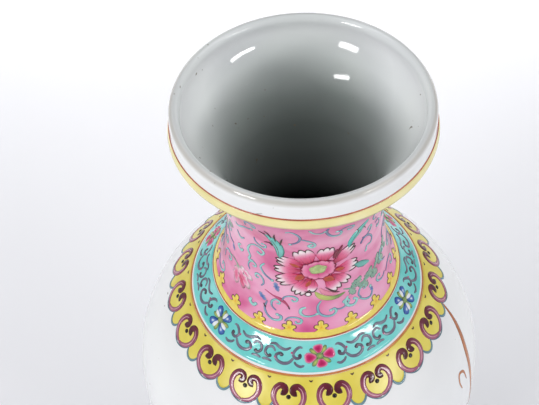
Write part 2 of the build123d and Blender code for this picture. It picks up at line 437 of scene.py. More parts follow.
def band_points(upper, lower, base, proud, phase, wobble=0.12, edge=0.35):
    """A ring of enamel between two edges given as mm down the wall, closed all round."""
    turn = np.arange(band_around) * 360 / band_around
    a = np.radians(turn)
    sway = 0.6 * np.sin(3 * a + phase) + 0.3 * np.sin(7 * a + 2.1 * phase) + 0.25 * np.sin(13 * a + phase)
    sway *= wobble
    top = (upper(turn) if callable(upper) else upper) + sway
    foot = (lower(turn) if callable(lower) else lower) + 0.8 * wobble * np.sin(5 * a + 1.7 * phase)
    span = np.mean(foot - top)
    rows = max(2, int(span / 1.6))
    shares = np.concatenate([[0, edge / span], np.linspace(0, 1, rows + 1)[1:-1], [1 - edge / span, 1]])
    shares = np.clip(np.sort(shares), 0, 1)
    lifts = np.where((shares == 0) | (shares == 1), base - 0.02, base + proud)
    rings = [on_wall(turn, top + (foot - top) * s, h) for s, h in zip(shares, lifts)]
    rings += [on_wall(turn, top + (foot - top) * s, base - 0.12) for s in np.linspace(1, 0, rows + 1)]
    return np.concatenate(rings), thrown_faces(len(rings), band_around, True)


def lay_band(name, upper, lower, base, proud, phase, finish, nodes, wobble=0.12):
    """One painted band between two edges, as a piece of its own."""
    points, faces = band_points(upper, lower, base, proud, phase, wobble)
    make_piece(name, points, faces, finish, nodes)


iron_red = enamel("iron_red_line", [(0.25, "#9A4030"), (0.5, "#B0583E"), (0.75, "#C67A58")], 160)
soft_yellow = enamel("soft_yellow", [(0.3, "#E6DB9A"), (0.55, "#EEE3A6"), (0.75, "#F2EAB8")], 60)
lay_band("rim_yellow", down_to(rim_line_foot), down_to(rim_yellow_foot), 0.0, 0.3, 0.4,
         soft_yellow, ["rim_yellow_band"])
lay_band("rim_red_stroke", down_to(rim_line_top), down_to(rim_line_foot) + 0.1, 0.0, 0.32, 1.3,
         iron_red, ["rim_red_line"], 0.08)

# The rose ground. Opaque rose enamel made with colloidal gold is dabbed over
# the whole neck, so it fires in soft streaks of deeper and paler pink.
rose_top = 443.4
rose_foot = 333.05

rose_finish, rose_shader, rose_place = new_finish("rose_ground", 0.16)
stretch = add_node(rose_finish, "ShaderNodeMapping")
stretch.inputs["Scale"].default_value = (1.0, 1.0, 1.7)
join(rose_finish, rose_place, stretch.inputs["Vector"])
streak = noise(rose_finish, stretch.outputs["Vector"], 34, 2.5, 0.5, 0.35)
rose_colour = ramp(
    rose_finish,
    streak,
    [(0.30, "#EBAECB"), (0.46, "#E699BD"), (0.56, "#DF84AC"), (0.66, "#D56596"), (0.78, "#C65087")],
)
join(rose_finish, rose_colour, rose_shader.inputs["Base Color"])
roughen(rose_finish, rose_shader, noise(rose_finish, rose_place, 260, 2.0), 0.00014, 0.6)
lay_band("rose_ground", down_to(rose_top), down_to(rose_foot), 0.0, 0.3, 2.2,
         rose_finish, ["neck_pink_ground"], 0.05)

# The trefoil edging. A narrow yellow band rings the root of the neck and throws
# up eighteen little trefoils, each with a fine dark outline and an amber eye.
trefoil_count = 18
trefoil_start = 8.5
trefoil_foot = 330.45
trefoil_band_top = 333.05


def rounded(points, closed=False, each=6):
    """A soft line through the points, as many steps to each as each says."""
    p = np.asarray(points, float)
    n = len(p)
    out = []
    for i in range(n if closed else n - 1):
        if closed:
            a, b, c, d = p[i - 1], p[i], p[(i + 1) % n], p[(i + 2) % n]
        else:
            a, b, c, d = p[max(i - 1, 0)], p[i], p[i + 1], p[min(i + 2, n - 1)]
        for t in np.arange(each) / each:
            bend, twist = 2 * a - 5 * b + 4 * c - d, 3 * b - a - 3 * c + d
            out.append(0.5 * (2 * b + (c - a) * t + bend * t**2 + twist * t**3))
    if not closed:
        out.append(p[-1])
    return np.array(out)


class Brushwork:
    """Raised enamel painted on the wall, gathered into one mesh."""

    def __init__(self):
        self.points, self.faces, self.tone = [], [], []

    def place(self, spot, uv, lift):
        """uv in mm right of and above a spot, which is (degrees, mm down)."""
        uv = np.asarray(uv, float)
        down = spot[1] - uv[:, 1]
        turn = spot[0] + np.degrees(uv[:, 0] / width_at(spot[1]))
        return on_wall(turn, down, np.asarray(lift, float))

    def add(self, places, faces, tone):
        """More points, faces and tones for the mesh."""
        start = len(self.points)
        self.points.extend(places.tolist())
        self.faces.extend([tuple(start + i for i in f) for f in faces])
        self.tone.extend(np.broadcast_to(tone, len(places)).tolist())

    def stroke(self, spot, path, half, base, proud, tone=0.5, soften=True, each=6, edge=0.0):
        """A brush line along a path, darker at its sides by edge; half is its half width."""
        line = rounded(path, False, each) if soften else np.asarray(path, float)
        n = len(line)
        t = np.linspace(0, 1, n)
        half = np.interp(t, np.linspace(0, 1, len(np.atleast_1d(half))), np.atleast_1d(half))
        tones = np.interp(t, np.linspace(0, 1, len(np.atleast_1d(tone))), np.atleast_1d(tone))
        way = np.gradient(line, axis=0)
        way /= np.maximum(np.hypot(way[:, 0], way[:, 1]), 1e-9)[:, None]
        across = np.stack([-way[:, 1], way[:, 0]], 1)
        ends = np.sqrt(np.clip(1 - (1 - np.minimum(t, 1 - t) * (n - 1) / 1.6) ** 2, 0.06, 1))
        ends[np.minimum(t, 1 - t) * (n - 1) >= 1.6] = 1
        rows, tone_rows = [], []
        for share, rise in ((-1, 0.0), (-0.6, 0.85), (0, 1.0), (0.6, 0.85), (1, 0.0), (0, -1.0)):
            lift = base + (proud * rise if rise >= 0 else -0.1)
            rows.append(self.place(spot, line + across * (half * share * ends)[:, None], np.full(n, lift)))
            tone_rows.append(tones - edge * (abs(share) == 1))
        places = np.stack(rows, 1).reshape(-1, 3)
        faces = []
        for i in range(n - 1):
            for j in range(6):
                k = (j + 1) % 6
                faces.append((i * 6 + j, i * 6 + k, (i + 1) * 6 + k, (i + 1) * 6 + j))
        faces.append(tuple(range(6)))
        faces.append(tuple(range((n - 1) * 6, n * 6))[::-1])
        self.add(places, faces, np.stack(tone_rows, 1).ravel())

    def patch(self, spot, outline, base, proud, tones=(0.0, 1.0), centre=None, rings=4, soften=True,
              each=4, along=None):
        """A domed filled shape; tones run from its centre to its edge, or from root to tip."""
        edge = rounded(outline, True, each) if soften else np.asarray(outline, float)
        middle = np.mean(edge, 0) if centre is None else np.asarray(centre, float)
        n = len(edge)
        places = [self.place(spot, middle[None], [base + proud])]
        steps = np.linspace(0, 1, len(tones))

        def tones_at(uv, share):
            if along is None:
                return np.full(len(uv), np.interp(share, steps, tones))
            root, tip = (np.asarray(end, float) for end in along)
            axis = tip - root
            return np.interp((uv - root) @ axis / (axis @ axis), steps, tones)

        tone = [tones_at(middle[None], 0)]
        for i in range(1, rings + 1):
            share = i / rings
            lift = base + proud * (1 - share**3)
            ring = middle + (edge - middle) * share
            places.append(self.place(spot, ring, np.full(n, lift)))
            tone.append(tones_at(ring, share))
        places.append(self.place(spot, middle[None], [base - 0.1]))
        tone.append(tone[0])
        faces = [(0, 1 + j, 1 + (j + 1) % n) for j in range(n)]
        for i in range(rings - 1):
            a, b = 1 + i * n, 1 + (i + 1) * n
            faces += [(a + j, b + j, b + (j + 1) % n, a + (j + 1) % n) for j in range(n)]
        last = 1 + (rings - 1) * n
        faces += [(last + j, 1 + rings * n, last + (j + 1) % n) for j in range(n)]
        self.add(np.concatenate(places), faces, np.concatenate(tone))

    def finish(self, name, finish, slot_name, nodes=()):
        make_piece(name, self.points, self.faces, finish, nodes, self.tone)


def mirrored(half):
    """A closed outline from its right half, listed from the foot to the top."""
    half = [tuple(p) for p in half]
    return half + [(-u, v) for u, v in half[::-1] if abs(u) > 1e-6]


trefoil_yellow = tinted("trefoil_yellow", [(0, "#E8A438"), (0.3, "#EED050"), (1, "#F0DA6C")])
outline_ink = enamel("outline_ink", [(0.3, "#3A2228"), (0.7, "#57343A")], 300)
trefoils = Brushwork()
band_mesh, band_faces = band_points(down_to(trefoil_band_top + 0.4), down_to(trefoil_foot), 0.3, 0.12,
    3.1, 0.1)
trefoils.add(band_mesh, band_faces, 1.0)
trefoil_lines = Brushwork()
trefoil_half = [(0, -4.6), (5.2, -4.5), (3.9, -3.4), (2.5, -2.5), (2.4, -1.5), (3.7, -1), (3.8, 0.4),
                (2.6, 1.1),
                (1.3, 0.9), (1.6, 2), (1.3, 3.2), (0, 3.9)]
for i in range(trefoil_count):
    spot = (trefoil_start + i * 360 / trefoil_count, down_to(trefoil_band_top) - 3.6)
    trefoils.patch(spot, mirrored(trefoil_half), 0.3, 0.35, (0.0, 0.35, 0.8, 1.0), (0, -0.6), each=3)
    for side in (-1, 1):
        edge = [(side * u, v) for u, v in trefoil_half[2:]]
        trefoil_lines.stroke(spot, edge, (0.12, 0.26, 0.2, 0.28, 0.16), 0.32, 0.12, each=3)
trefoils.finish("trefoil_edging", trefoil_yellow, "yellow_enamel", ["trefoil_border"])
trefoil_lines.finish("trefoil_outlines", outline_ink, "black_enamel")

# The turquoise band. Between two iron-red lines lies a ring of opaque turquoise
# enamel, brushed on thick, with a hair of white glaze left bare at each edge.
turquoise_top = 329.55
turquoise_foot = 316.25
neck_line_top = 330.45
collar_line_top = 315.65
collar_line_foot = 314.75

turquoise_finish = enamel(
    "turquoise_ground",
    [(0.25, "#4FBDB6"), (0.42, "#6ACDC8"), (0.6, "#7FD6D2"), (0.8, "#9BE0DC")],
    46, 0.10, 0.00016, 3.0,
)
lay_band("turquoise_wash", down_to(turquoise_top) + 0.35, down_to(turquoise_foot) - 0.25, 0.0, 0.3, 0.9,
         turquoise_finish, ["turquoise_band"], 0.15)
lay_band("neck_red_line", down_to(neck_line_top), down_to(turquoise_top), 0.0, 0.36, 2.7,
         iron_red, ["neck_base_line"], 0.08)
orange_line = enamel("orange_line", [(0.25, "#B5653F"), (0.5, "#C57A45"), (0.75, "#D2905A")], 120)
lay_band("collar_red_stroke", down_to(collar_line_top), down_to(collar_line_foot), 0.0, 0.34, 1.9,
         orange_line, ["collar_red_line"], 0.08)

# The scrolls and flowers on the turquoise band. Six flower heads, crimson and
# blue by turns, are joined by grey-plum tendrils drawn with a fine brush.
flower_turns = [6.1 + 60 * i for i in range(6)]
band_middle = (down_to(turquoise_top) + down_to(turquoise_foot)) / 2

tendril_grey = tinted("tendril_grey", [(0, "#3C3440"), (0.5, "#6F6A7E"), (1, "#8C93A2")])
crimson_petal = tinted("crimson_petal", [(0, "#B01E58"), (0.45, "#D03C78"), (0.8, "#E88CB0"),
    (1, "#F4D4DC")])
blue_petal = tinted("blue_petal", [(0, "#F0F4F4"), (0.4, "#D8E6F0"), (0.65, "#4A78C0"), (1, "#1D3F96")])
leaf_green = tinted("leaf_green", [(0, "#C6CC70"), (0.5, "#8FA860"), (1, "#5F8058")])

tendrils, crimson_flowers, blue_flowers, band_leaves = (Brushwork() for _ in range(4))
tendril_paths = [
    ([(9.4, 4.6), (11.2, 5), (13.4, 3.4), (14.6, 0.6), (12.8, -1.4), (10.8, -0.4), (11.4, 1.2)],
     (0.3, 0.55, 0.5, 0.55, 0.7), (0.9, 0.5, 0.6, 0.3, 0)),
    ([(14.2, -1), (16.6, -4), (20, -4.8), (23.2, -3.4), (23.8, -0.8), (21.6, 0.4), (20.4, -1)],
     (0.4, 0.6, 0.55, 0.5, 0.75), (0.7, 0.5, 0.6, 0.3, 0)),
    ([(16, 4.6), (19, 3), (22.4, 3.6), (25.4, 5.2), (28.6, 4.4)], (0.35, 0.5, 0.6, 0.5, 0.3),
     (0.2, 0.6, 0.9, 0.5, 0.1)),
    ([(24.6, 0.8), (26.6, 3), (29.4, 2.2), (30.2, -0.6), (28.4, -2.6), (26.4, -1.6)],
     (0.35, 0.5, 0.5, 0.5, 0.7), (0.6, 0.8, 0.5, 0.2, 0)),
    ([(8.4, -5), (10.4, -5.8), (12.6, -4.9), (13.8, -3.2)], (0.3, 0.5, 0.45, 0.3), (0.7, 0.5, 0.5, 0.1)),
    ([(25.6, -5.2), (28.2, -4.4), (31, -5)], (0.3, 0.5, 0.4), (0.3, 0.8, 0.6)),
]
for turn in flower_turns:
    spot = (turn, band_middle)
    for side in (-1, 1):
        for path, half, tone in tendril_paths:
            line = [(side * u, v) for u, v in path]
            tendrils.stroke(spot, line, np.array(half) * 1.6, 0.3, 0.24, tone, each=4)
        for u, v in ((15.4, 1.6), (24.2, -2.2)):
            crimson_flowers.patch(spot, [(side * u + 0.7 * math.cos(a),
                v + 0.7 * math.sin(a)) for a in np.radians(range(0, 360, 72))],
                                  0.3, 0.25, (0.3, 0.6), rings=2, each=2)


def petal_outline(reach, wide, turn, notch=0.0):
    """A rounded petal that grows from the middle of a flower towards an angle."""
    half = [(0.12, 0.04), (0.35, 0.62), (0.66, 1.0), (0.9, 0.72), (1.0 - notch, 0.0)]
    shape = half + [(a, -b) for a, b in half[-2::-1]]
    c, s = math.cos(turn), math.sin(turn)
    return [(reach * a * c - wide * b * s, reach * a * s + wide * b * c) for a, b in shape]


for i, turn in enumerate(flower_turns):
    spot = (turn, band_middle)
    crimson = i % 2 == 0
    for k in range(4):
        angle = math.radians(90 * k + (8 if crimson else 45))
        target = crimson_flowers if crimson else blue_flowers
        reach = (9.0 if k % 2 == 0 else 7.0) if crimson else 8.6
        shape = petal_outline(reach, 3.1 if crimson else 2.3, angle, 0.05)
        target.patch(spot, shape, 0.3, 0.5, (0.0, 0.1, 0.5, 1.0) if crimson else (0.3, 0.62, 0.85, 1.0),
                     each=3,
                     centre=(0.62 * reach * math.cos(angle), 0.62 * reach * math.sin(angle)))
        leaf_angle = angle + math.radians(45)
        band_leaves.patch(spot, petal_outline(7.0, 1.3, leaf_angle), 0.3, 0.35, (0.0, 0.4, 1.0), each=3,
                          centre=(4.2 * math.cos(leaf_angle), 4.2 * math.sin(leaf_angle)))
        if not crimson:
            white_angle = angle + math.radians(22)
            blue_flowers.patch(spot, petal_outline(6.6, 1.8, white_angle), 0.35, 0.4, (0.0, 0.1, 0.4),
                each=3,
                               centre=(4.0 * math.cos(white_angle), 4.0 * math.sin(white_angle)))
    band_leaves.patch(spot, [(2.1 * math.cos(a), 2.1 * math.sin(a)) for a in np.radians(range(0, 360, 60))],
                      0.5, 0.5, (0.2, 0.7, 0.9), each=3)
tendrils.finish("band_tendrils", tendril_grey, "plum_enamel")
crimson_flowers.finish("crimson_flowers", crimson_petal, "crimson_enamel")
blue_flowers.finish("blue_flowers", blue_petal, "blue_enamel")
band_leaves.finish("flower_leaves", leaf_green, "green_enamel")

# The collar. Nineteen ruyi heads hang over the shoulder on a yellow ground, each
# a heart of two inward volutes in plum enamel with a black dot between them. A
# yellow tab with a blue-grey edge fills the gap between each pair.
head_count = 19
head_start = 10.5
head_pitch = 360 / head_count
head_middle = down_to(collar_line_foot) + 12.0
head_lower = [(0, -9.2), (2.6, -8.7), (5.4, -7), (7.9, -4.2), (9.3, -0.8), (9.5, 1.2)]
tab_lower = [(0, -8.4), (1.6, -8), (3.4, -6.2), (4.6, -3.2), (5.2, 0.6)]


def collar_edge(turn):
    """How far down the wall the yellow ground reaches, all round."""
    mm_per_degree = math.pi / 180 * width_at(head_middle)
    off_head = np.abs((turn - head_start + head_pitch / 2) % head_pitch - head_pitch / 2) * mm_per_degree
    off_tab = np.abs((turn - head_start) % head_pitch - head_pitch / 2) * mm_per_degree
    head = -np.interp(off_head, [u for u, v in head_lower], [v for u, v in head_lower], right=6)
    tab = -np.interp(off_tab, [u for u, v in tab_lower], [v for u, v in tab_lower], right=6)
    return head_middle + np.maximum(head, tab) - 0.35


collar_yellow = enamel("collar_yellow", [(0.3, "#D8C84C"), (0.5, "#DFD05A"), (0.7, "#E6DA6E")], 70, 0.3)
band_around = 19 * 36
lay_band("collar_ground", down_to(collar_line_foot), collar_edge, 0.0, 0.3, 0.0,
         collar_yellow, ["collar_yellow_ground"], 0.0)
band_around = 288

plum_finish = tinted("plum_scroll", [(0, "#451722"), (0.35, "#6B2435"), (0.6, "#8E4560"),
    (1, "#B4708A")], 260)
pale_line_finish = enamel("pale_scroll_line", [(0.3, "#C98FA0"), (0.7, "#DDB4B4")], 260)
blue_grey = tinted("blue_grey_edging", [(0, "#4F7084"), (0.5, "#6E919E"), (1, "#9DB6B4")], 260)
dot_black = enamel("dot_black", [(0.3, "#140D0E"), (0.7, "#2A1A1A")], 300, 0.1)
volutes, volute_lights, edging, dots, marks = (Brushwork() for _ in range(5))
volute_path = [(0, -8.2), (2.8, -7.5), (5.6, -5.6), (7.7, -2.6), (8.4, 0.8), (7.6, 4.2), (5.4, 6.2),
               (3, 5.8),
               (2.1, 4), (3, 2.5), (4.5, 2.7)]
for i in range(head_count):
    spot = (head_start + i * head_pitch, head_middle)
    for side in (-1, 1):
        line = [(side * u, v) for u, v in volute_path]
        volutes.stroke(spot, line, (0.9, 1.25, 1.5, 1.7, 1.85, 1.95, 1.9, 1.7), 0.3, 0.25,
                       (0.75, 0.9, 0.75, 0.5, 0.3, 0.12, 0.0), each=5)
        volute_lights.stroke(spot, [(side * u * 0.97, v) for u, v in volute_path[1:7]],
            (0.12, 0.3, 0.3, 0.12), 0.5, 0.12, each=5)
    dots.patch(spot, [(1.35 * math.cos(a), 0.3 + 1.35 * math.sin(a)) for a in np.radians(range(0, 360,
        45))], 0.3, 0.5, (0.2, 0.8), rings=3, each=3)
    between = (spot[0] + head_pitch / 2, head_middle)
    tab_line = [(u, v) for u, v in tab_lower[::-1]] + [(-u, v) for u, v in tab_lower[1:]]
    edging.stroke(between, tab_line[1:-1], (0.4, 0.75, 0.8, 0.75, 0.4), 0.28, 0.24,
                  (0.2, 0.5, 0.6, 0.5, 0.2), each=5)
    edging.stroke(spot, [(side_u, v - 0.7) for side_u,
                         v in [(-u, v) for u, v in head_lower[4:0:-1]] + head_lower[0:5]],
                  (0.2, 0.35, 0.4, 0.35, 0.2), 0.12, 0.2, (0.1, 0.3, 0.1), each=4)
    marks.stroke(between, [(-1.1, 10.2), (0.0, 9.4), (1.1, 10.2)], (0.3, 0.5, 0.3), 0.3, 0.2, each=3)
volutes.finish("ruyi_heads", plum_finish, "plum_enamel", ["ruyi_scrolls"])
volute_lights.finish("ruyi_lights", pale_line_finish, "plum_enamel")
edging.finish("collar_edging", blue_grey, "blue_enamel", ["collar_blue_edging"])
dots.finish("ruyi_dot_drops", dot_black, "black_enamel", ["ruyi_dots"])
marks.finish("collar_marks", outline_ink, "black_enamel")

# The peony on the front of the neck. Eleven petals in white and rose enamel with
# dark outlines stand round a darker corolla and a green seed head; a peach and
# a crescent leaf lie below. The same flower is repeated at the back.
peony_turn = 7.8
peony_height = 379.6

petal_finish = tinted("peony_petal", [(0, "#A81E44"), (0.2, "#CE3A66"), (0.42, "#E0608E"),
    (0.6, "#EA94B4"), (0.76, "#F2CAD8"), (0.9, "#F7E8EC"), (1, "#FAF4F4")], 260, mottle=0.18)
corolla_finish = tinted("peony_corolla", [(0, "#C8447A"), (0.4, "#DC5C90"), (0.75, "#EA82AC"),
    (1, "#EE9CBC")], 260)
seed_green = tinted("seed_head_green", [(0, "#8FB060"), (0.5, "#B4CC84"), (1, "#C4D89A")], 700, mottle=0.6)
accent_red = tinted("orange_red_accent", [(0, "#A0441F"), (0.5, "#BC4A30"), (1, "#CC3A58")])
shadow_finish = tinted("petal_shadow", [(0, "#7A1838"), (0.3, "#A02450"), (0.7, "#C84878"), (1, "#DC7098")])

petals, corolla, seeds, accents, shadows, petal_lines = (Brushwork() for _ in range(6))


def scalloped_petal(root, tip, wide, lobes, depth, steps=40):
    """The outline of a petal with a lobed tip: its crest, then round by its root."""
    root, tip = np.asarray(root, float), np.asarray(tip, float)
    axis = tip - root
    reach = np.hypot(*axis)
    axis /= reach
    side = np.array([-axis[1], axis[0]])
    crest = []
    for w in np.linspace(-1, 1, steps):
        lobe = 1 - depth * (1 - abs(math.sin(0.5 * math.pi * lobes * (w + 1))) ** 0.55)
        spread = 0.62 + 0.38 * math.sqrt(max(1 - abs(w) ** 2.6, 0))
        crest.append(root + axis * reach * spread * lobe + side * wide * w * (0.94 + 0.06 * lobe))
    base = [root + axis * reach * 0.34 + side * wide * 0.74, root + axis * reach * 0.1 + side * wide * 0.34,
            root - axis * 0.2, root + axis * reach * 0.1 - side * wide * 0.34,
            root + axis * reach * 0.34 - side * wide * 0.74]
    return np.array(crest), np.array(base)


petal_list = [
    ((-3.6, 2.4), (-8.6, 16.4), 6, 3, 0.20),
    ((3.4, 3), (5, 16.4), 5, 3, 0.18),
    ((7.4, 0.4), (20.6, 10.2), 4.4, 3, 0.28),
    ((8, -4.4), (23, -7), 4.8, 3, 0.24),
    ((7.2, -7.4), (17, -17.2), 3.2, 2, 0.22),
    ((3.6, -8.2), (10.8, -20.4), 3.6, 2, 0.20),
    ((-2.6, -8), (-4.6, -18.6), 4, 2, 0.16),
    ((-3.8, -7.4), (-11.4, -20.4), 4.4, 3, 0.22),
    ((-6, -4.6), (-21.4, -12.6), 4.6, 3, 0.28),
    ((-6.6, -1.4), (-23, -3), 3.2, 2, 0.24),
    ((-5.6, 1.6), (-21.4, 6), 4.4, 3, 0.28),
]


def ring_at(middle, wide, tall, count, ripple=0.0, waves=5):
    """Points round an oval, rippled in or out."""
    turn = np.arange(count) * 2 * math.pi / count
    swell = 1 + ripple * np.sin(waves * turn)
    return np.stack([middle[0] + wide * swell * np.cos(turn), middle[1] + tall * swell * np.sin(turn)], 1)


def paint_peony(spot):
    """One open peony about a spot."""
    for rank, (root, tip, wide, lobes, depth) in enumerate(petal_list):
        crest, base = scalloped_petal(root, tip, wide, lobes, depth)
        root, tip = np.asarray(root, float), np.asarray(tip, float)
        lift = 0.3 + 0.04 * (rank % 3)
        petals.patch(spot, np.concatenate([crest, base]), lift, 0.34,
                     (0.0, 0.12, 0.26, 0.42, 0.64, 0.9, 1.0), root * 0.6 + tip * 0.4,
                     rings=7, soften=False, along=(root, tip))
        petal_lines.stroke(spot, crest[1:-1], (0.16, 0.34, 0.26, 0.36, 0.26, 0.34, 0.16), lift, 0.28,
                           0.2, soften=False)
        axis = tip - root
        across = np.array([-axis[1], axis[0]]) / np.hypot(*axis)
        for share in (-0.5, 0.0, 0.5):
            start = root + axis * 0.16 + across * wide * share * 0.5
            stop = root + axis * 0.58 + across * wide * share * 0.9
            shadows.stroke(spot, np.array([start, (start + stop) / 2 + across * 0.2, stop]),
                           (0.5, 0.3, 0.06),
                           lift + 0.2, 0.14, (0.3, 0.6, 0.9), each=4)
    shadows.patch(spot, ring_at((0.6, -1.6), 9.4, 7.6, 48, 0.03, 9), 0.5, 0.2, (0.5, 0.3, 0.1), rings=4,
                  soften=False)
    for k in range(8):
        turn = math.radians(22 + 45 * k)
        root = np.array([0.4 + 2.4 * math.cos(turn), -1.2 + 1.8 * math.sin(turn)])
        tip = np.array([0.6 + 9.4 * math.cos(turn), -1.5 + 7.4 * math.sin(turn)])
        crest, base = scalloped_petal(root, tip, 3.5, 2, 0.12, 20)
        corolla.patch(spot, np.concatenate([crest, base]), 0.64 + 0.04 * (k % 2), 0.26,
                      (0.1, 0.3, 0.75, 1.0), (root + tip) / 2,
                      rings=4, soften=False, along=(root, tip))
        shadows.stroke(spot, crest[1:-1], (0.08, 0.2, 0.14, 0.2, 0.08), 0.66, 0.24, (0.4, 0.2, 0.4),
                       soften=False)
    seeds.patch(spot, ring_at((0.2, -0.6), 4.6, 3.7, 30, 0.07), 0.9, 0.4, (0.2, 0.7, 0.5, 1.0), rings=5,
                soften=False)
    for root, tip, wide in (((-5.8, -4.2), (-12.4, -9.4), 2.5), ((2.4, -7.6), (9.0, -12.6), 2.6),
                            ((-8.4, 1.0), (-14.6, 4.4), 1.5), ((8.8, -4.0), (15.0, -6.0), 1.7),
                            ((-3.2, -9.0), (-6.4, -14.6), 1.5)):
        root, tip = np.array(root), np.array(tip)
        axis = (tip - root) / np.hypot(*(tip - root))
        across = np.array([-axis[1], axis[0]]) * wide
        middle = (root + tip) / 2
        accents.patch(spot, np.array([root, middle + across, tip, middle - across]), 0.6, 0.24,
                      (0.0, 0.35, 1.0), rings=3, each=4)
    for fold in ([(9.4, 4.6), (11.4, 9.4), (13.2, 14.6)], [(8.4, 5.4), (9.8, 9.6), (10.8, 12.2)]):
        shadows.stroke(spot, np.array(fold), (0.6, 1.1, 0.6), 0.6, 0.2, (0.1, 0.0, 0.1), each=4)


peony_spot = (peony_turn, down_to(peony_height))
far_spot = (peony_turn + 180, down_to(peony_height))
paint_peony(peony_spot)
paint_peony(far_spot)
petals.finish("peony_petals", petal_finish, "white_enamel")
corolla.finish("peony_corollas", corolla_finish, "rose_enamel")
shadows.finish("peony_shadows", shadow_finish, "crimson_enamel")
seeds.finish("peony_seed_heads", seed_green, "green_enamel")
accents.finish("peony_accents", accent_red, "iron_red_enamel")
petal_lines.finish("peony_outlines", outline_ink, "black_enamel")

# The leaves and tendrils on the neck. Teal leaves, pale turquoise curls, blue
# and rose buds and a green vine are painted round the peony, then again on the
# far side, so the rose ground is filled without a gap.
curl_finish = tinted("neck_curl", [(0, "#5E6A94"), (0.35, "#7C9CB6"), (0.7, "#8ACBC8"), (1, "#A2DCD4")])
teal_finish = tinted("teal_leaf", [(0, "#1FA89C"), (0.4, "#4FC0B8"), (0.8, "#7ECFC8"), (1, "#5FA8A0")], 260)
vine_finish = tinted("vine_green", [(0, "#5F8F80"), (0.5, "#86AA9A"), (1, "#A9C4A8")])
bud_blue = tinted("bud_blue", [(0, "#33539C"), (0.6, "#6C86BE"), (1, "#A6B8D8")])
curls, teal_leaves, vines, blue_buds = (Brushwork() for _ in range(4))
neck_rose, neck_ink, neck_white, crescents = (Brushwork() for _ in range(4))

curl_paths = [
    ([(-14.5, 36.1), (-12.2, 37.6), (-9.7, 34.4), (-8.2, 29.2), (-9.6, 24.4), (-13.2, 21.6)],
     (0.35, 0.5, 0.5, 0.4), (1, 0.6, 0.2, 0.1)),
    ([(-8, 28.1), (-4.9, 26.1), (-1.9, 23.3), (-1.2, 20.2), (-2.9, 18.9), (-4.3, 20.6), (-3.2, 21.8)],
     (0.35, 0.45, 0.5, 0.6, 0.5), (0.4, 0.8, 1, 1)),
    ([(-4.2, 41.4), (-2.4, 36.4), (0.8, 34.6), (3, 36.6)], (0.45, 0.5, 0.35), (1, 0.9, 0.6)),
    ([(4, 41), (3.7, 35.3), (5.2, 30.2), (7.9, 27.2), (10.8, 27), (11.2, 30.2), (8.9, 32.2)],
     (0.4, 0.55, 0.55, 0.5, 0.4), (0.1, 0.2, 0.7, 0.9, 0.3)),
    ([(25.2, 5.6), (27.4, 8.6), (31.4, 7.4), (34.6, 2.6), (33.4, -0.8), (30.3, -0.4), (29.2, -3.4)],
     (0.6, 0.5, 0.4, 0.35), (0, 0.2, 0.6, 0.9)),
    ([(-47.3, 16.9), (-45.2, 15.4), (-39.3, 20.5), (-33.9, 23.6)], (0.4, 0.5, 0.3), (0.9, 0.7, 0.4)),
    ([(-47.3, 9.4), (-44.7, 5.6), (-41.1, 8.4)], (0.35, 0.5, 0.35), (0.5, 0.8, 0.5)),
    ([(-44.7, -0.6), (-47.3, -3.4), (-44.7, -5.4), (-43.4, -3.6)], (0.5, 0.6, 0.5), (1, 0.9)),
    ([(-37, 6.7), (-39.2, 1.2), (-37.6, -2.8), (-38.4, -6.4), (-36, -6.2)], (0.4, 0.6, 0.55, 0.6, 0.5),
     (1, 0.8, 1)),
    ([(-37.1, 6.6), (-33.8, 9.2), (-30.4, 8.9), (-28.2, 6.3), (-29.9, 3.4), (-31.9, 4.2)],
     (0.3, 0.5, 0.5, 0.6), (0.7, 0.9, 1)),
    ([(-28, -2.4), (-30.5, -6.5), (-29.3, -9.6), (-27.1, -11.8), (-23.6, -13.7)], (0.35, 0.5, 0.5, 0.4),
     (0.8, 0.6, 0.1)),
    ([(-34.6, -34.6), (-35.4, -37), (-33.2, -38.6), (-31.8, -36.8)], (0.6, 0.8, 0.6), (1, 0.9)),
    ([(-25.7, -30.5), (-26.8, -36.1), (-25, -40.4), (-21.9, -42.3), (-18.6, -41.3), (-18.2, -38.8),
      (-20, -38.2)], (0.3, 0.45, 0.5, 0.55, 0.5), (0.3, 0.4, 0.8, 0.3)),
    ([(-6.2, -30.2), (-8.4, -31.4), (-8.9, -34.4), (-7, -36.6), (-3.7, -36.8), (-0.9, -35.6)],
     (0.55, 0.6, 0.5, 0.4), (1, 0.9, 0.5)),
    ([(1.4, -25.9), (-0.5, -30), (0, -35), (2.8, -38), (6.3, -38.4), (8.4, -36.4), (7.6, -34),
      (5.8, -34.6)], (0.3, 0.5, 0.55, 0.5, 0.55, 0.45), (0.7, 0.4, 0.6, 0.9, 0.5)),
    ([(15.4, -28.6), (13.6, -31.7), (14.6, -35.4), (17.9, -36.9), (20, -34.6), (18.6, -32.8)],
     (0.5, 0.7, 0.6, 0.5), (1, 0.8, 1)),
    ([(21.1, -34.6), (24.6, -38.3), (28, -39.3), (30, -36.1), (29.2, -32.6)], (0.35, 0.5, 0.5, 0.35),
     (0.7, 0.5, 0.1)),
]
leaf_strokes = [
    ([(-19.2, 6.9), (-19, 14.2), (-21.6, 21.6), (-25.8, 26.4)], (0.8, 1.7, 2, 1.6, 0.4),
     (1, 0.8, 0.6, 0.7)),
    ([(17.3, 9.4), (18.6, 14.2), (21.6, 18.4), (24.5, 22), (28.2, 25.6)], (0.7, 1.5, 2.2, 1.9, 0.7),
     (0.3, 0.4, 0.7, 0.6)),
    ([(20.8, -7.6), (24.2, -10.2), (27.4, -12.2), (31, -13.9)], (0.4, 1.6, 1.5, 0.3), (1, 0.9)),
]
